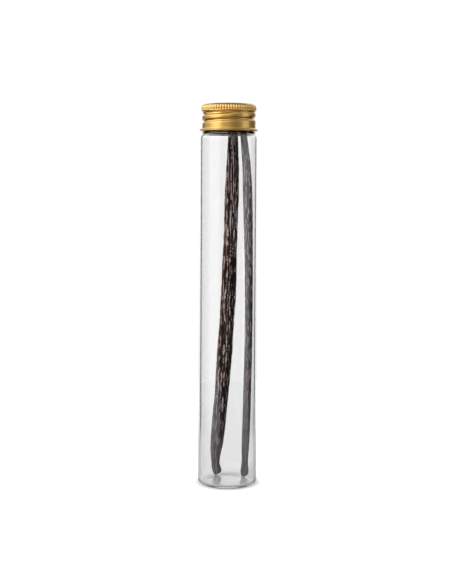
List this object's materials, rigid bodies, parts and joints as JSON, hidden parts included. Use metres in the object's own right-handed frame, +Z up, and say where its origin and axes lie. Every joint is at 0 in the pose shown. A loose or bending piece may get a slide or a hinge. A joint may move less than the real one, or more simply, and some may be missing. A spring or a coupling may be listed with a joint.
{
  "type": "vanilla pods in a glass tube",
  "caption": "Slender clear glass tube with a flat foot and a gold screw cap, holding long, dark, wrinkled cured vanilla pods that stand on its floor and lean on its wall.",
  "frame": {"origin": "middle of the tube's foot, in the plane that it stands on", "axes": "+Z up along the tube, -Y the front, +X the right-hand side"},
  "size_m": [0.03, 0.03, 0.1948],
  "materials": {
    "clear_glass": "clear, fire-polished, colourless soda-lime glass",
    "gold_aluminium": "gold-anodised rolled sheet, satin",
    "dark_pod": "cured, oily, finely wrinkled lengthwise",
    "grey_pod": "cured, drier and a little greyer, finely wrinkled lengthwise"
  },
  "bodies": {
    "root": {"glass_tube": "clear_glass", "screw_cap": "gold_aluminium", "vanilla_pod_broad": "dark_pod", "vanilla_pod_slim": "grey_pod"}
  },
  "joints": []
}
